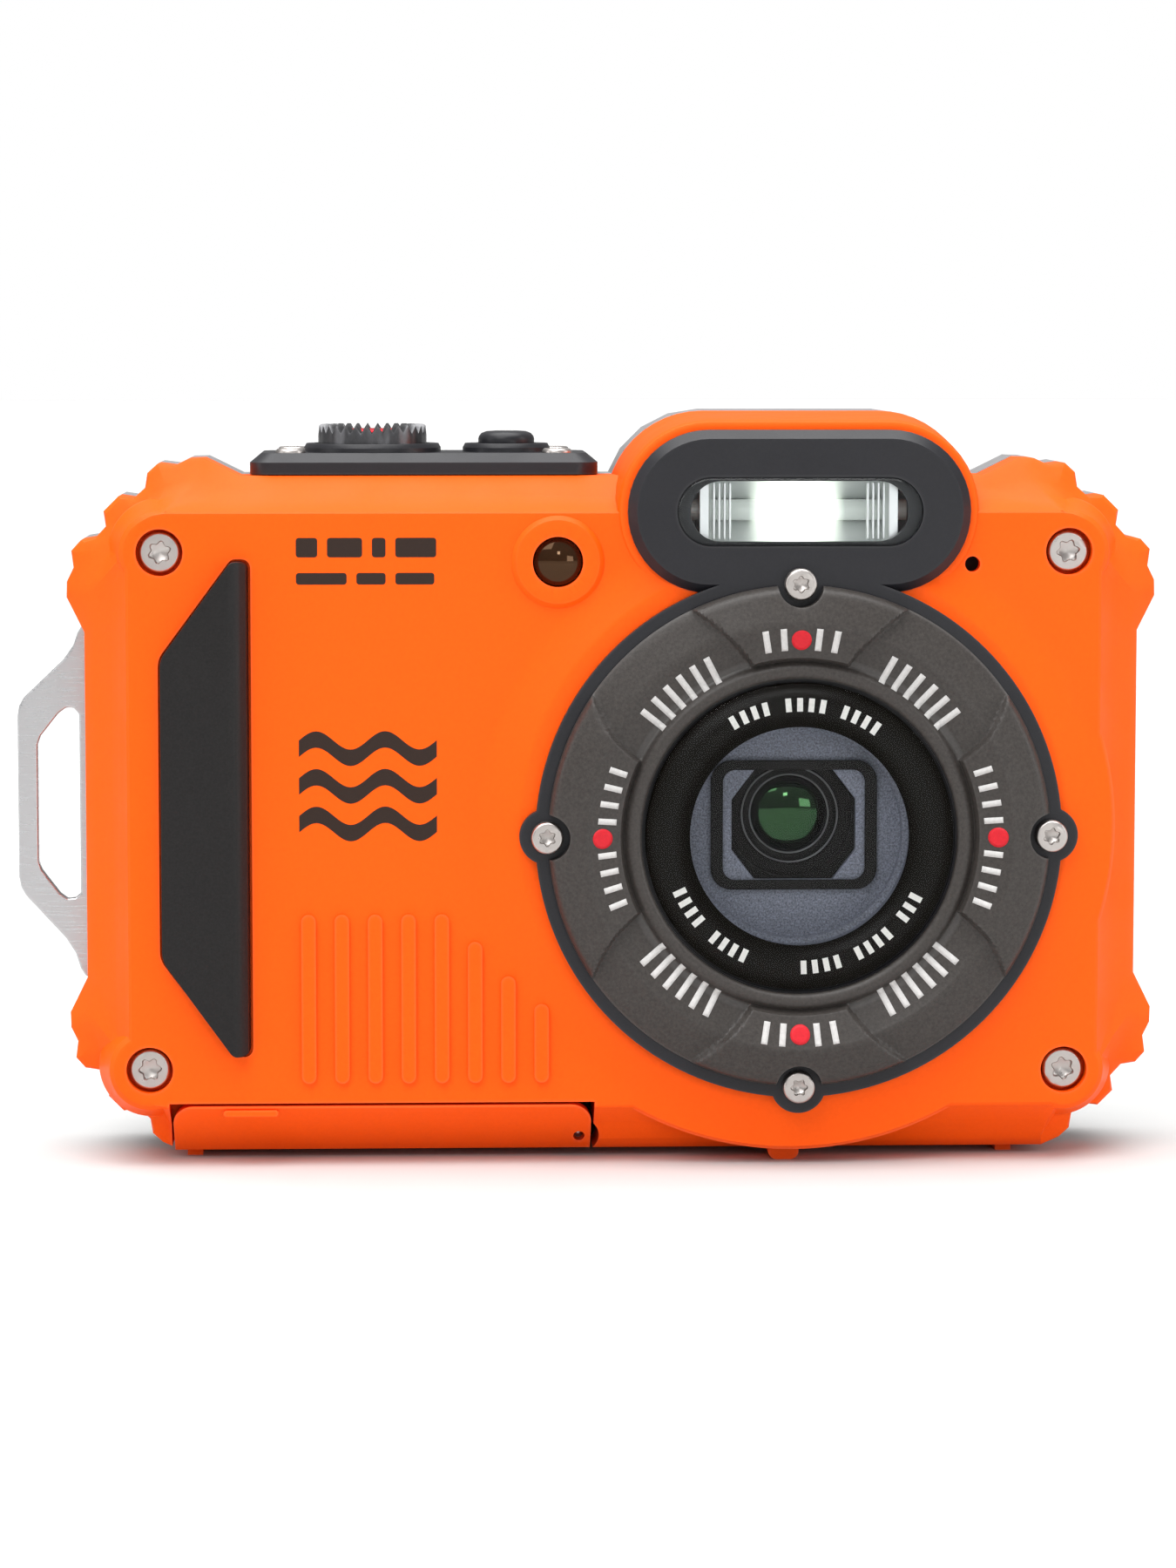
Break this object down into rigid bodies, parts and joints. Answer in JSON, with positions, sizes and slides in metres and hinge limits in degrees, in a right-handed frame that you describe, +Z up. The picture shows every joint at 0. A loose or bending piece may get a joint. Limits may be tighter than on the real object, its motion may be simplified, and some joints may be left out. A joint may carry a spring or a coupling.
{
  "type": "waterproof compact camera",
  "caption": "Rugged waterproof compact camera with a screwed-on lens ring, flash housing, top buttons, hinged battery door, strap lug and a rear screen.",
  "frame": {"origin": "on the ground, under the middle of the camera's bounding box, strap lug included", "axes": "+Z up from the feet, -Y out of the lens, +X towards the camera's right side as seen from the front"},
  "size_m": [0.1192, 0.0288, 0.0782],
  "materials": {
    "front_shell": "orange moulded polycarbonate, fine matte grain",
    "rear_shell": "grey moulded plastic",
    "case_seal": "soft black gasket",
    "front_bezel": "black semi-gloss plate",
    "lens_ring": "dark grey textured armour ring with pale marks",
    "grip_pad": "black satin rubber",
    "strap_lug": "polished steel plate",
    "tripod_socket": "threaded insert",
    "screws": "six-lobe socket screws",
    "lens_window": "coated flat window with a black printed border",
    "clear_cover": "clear cover",
    "black_inner": "matt black inner parts",
    "optics": "coated optical glass",
    "circuit": "green circuit board",
    "reflector": "bright flash reflector",
    "microphone": "microphone can",
    "top_plate": "black satin plate",
    "shutter_button": "black knurled metal",
    "shutter_inset": "red anodised disc",
    "power_button": "black satin cap",
    "keys": "grey rubber keys",
    "screen_window": "dark screen cover",
    "screen_panel": "liquid crystal panel",
    "battery": "dark cell wrap",
    "battery_door": "orange moulded plastic",
    "door_latch": "orange moulded plastic"
  },
  "bodies": {
    "case": {"front_shell": "front_shell", "rear_shell": "rear_shell", "case_seal": "case_seal", "front_bezel": "front_bezel", "lens_ring": "lens_ring", "grip_pad": "grip_pad", "strap_lug": "strap_lug", "tripod_socket": "tripod_socket", "case_screw_1": "screws", "case_screw_2": "screws", "case_screw_3": "screws", "case_screw_4": "screws", "ring_screw_1": "screws", "ring_screw_2": "screws", "ring_screw_3": "screws", "ring_screw_4": "screws", "plate_screw_1": "screws", "plate_screw_2": "screws", "plate_screw_3": "screws", "plate_screw_4": "screws", "lens_window": "lens_window", "window_seal": "case_seal", "lens_baffle": "black_inner", "lens_housing": "black_inner", "lens_barrel": "black_inner", "front_lens": "optics", "fold_prism": "optics", "image_sensor": "circuit", "flash_window": "clear_cover", "flash_reflector": "reflector", "flash_tube": "clear_cover", "lamp_window": "lens_window", "lamp_emitter": "clear_cover", "microphone": "microphone", "top_plate": "top_plate", "top_key_board": "circuit", "screen_window": "screen_window", "screen_panel": "screen_panel", "main_board": "circuit", "battery_bay": "black_inner", "battery": "battery", "memory_card": "battery", "flash_capacitor": "battery", "hinge_pin": "screws"},
    "shutter": {"shutter_button": "shutter_button", "shutter_inset": "shutter_inset"},
    "power": {"power_button": "power_button"},
    "record_key": {"record_button": "keys"},
    "play_key": {"play_button": "keys"},
    "menu_key": {"menu_button": "keys"},
    "wireless_key": {"wireless_button": "keys"},
    "delete_key": {"delete_button": "keys"},
    "pad_key": {"direction_pad": "keys"},
    "ok_key": {"ok_button": "keys"},
    "zoom_key": {"zoom_rocker": "keys"},
    "door": {"battery_door": "battery_door", "battery_door_seal": "case_seal"},
    "latch": {"door_latch": "door_latch"},
    "zoom_lens": {"zoom_group": "optics"}
  },
  "joints": [
    {"name": "shutter_press", "type": "slide", "parent": "case", "child": "shutter", "axis": [0, 0, -1], "range_m": [0, 0.0008], "stiffness_N_per_m": 1500},
    {"name": "power_press", "type": "slide", "parent": "case", "child": "power", "axis": [0, 0, -1], "range_m": [0, 0.0005], "stiffness_N_per_m": 1500},
    {"name": "record_press", "type": "slide", "parent": "case", "child": "record_key", "axis": [0, -1, 0], "range_m": [0, 0.0005], "stiffness_N_per_m": 1500},
    {"name": "play_press", "type": "slide", "parent": "case", "child": "play_key", "axis": [0, -1, 0], "range_m": [0, 0.0005], "stiffness_N_per_m": 1500},
    {"name": "menu_press", "type": "slide", "parent": "case", "child": "menu_key", "axis": [0, -1, 0], "range_m": [0, 0.0005], "stiffness_N_per_m": 1500},
    {"name": "wireless_press", "type": "slide", "parent": "case", "child": "wireless_key", "axis": [0, -1, 0], "range_m": [0, 0.0005], "stiffness_N_per_m": 1500},
    {"name": "delete_press", "type": "slide", "parent": "case", "child": "delete_key", "axis": [0, -1, 0], "range_m": [0, 0.0005], "stiffness_N_per_m": 1500},
    {"name": "ok_press", "type": "slide", "parent": "case", "child": "ok_key", "axis": [0, -1, 0], "range_m": [0, 0.0005], "stiffness_N_per_m": 1500},
    {"name": "pad_tilt", "type": "hinge", "parent": "case", "child": "pad_key", "pos_m": [-0.0275, 0.0104, 0.0359], "axis": [1, 0, 0], "range_deg": [-2, 2], "stiffness_Nm_per_rad": 0.4},
    {"name": "zoom_rock", "type": "hinge", "parent": "case", "child": "zoom_key", "pos_m": [-0.0317, 0.01155, 0.0602], "axis": [0, 0, 1], "range_deg": [-4, 4], "stiffness_Nm_per_rad": 0.2},
    {"name": "battery_door_hinge", "type": "hinge", "parent": "case", "child": "door", "pos_m": [-0.0007, 0.00235, 0.0024], "axis": [0, -1, 0], "range_deg": [0, 87]},
    {"name": "latch_slide", "type": "slide", "parent": "door", "child": "latch", "axis": [1, 0, 0], "range_m": [0, 0.0024]},
    {"name": "zoom_travel", "type": "slide", "parent": "case", "child": "zoom_lens", "axis": [0, 0, 1], "range_m": [0, 0.0115]}
  ]
}
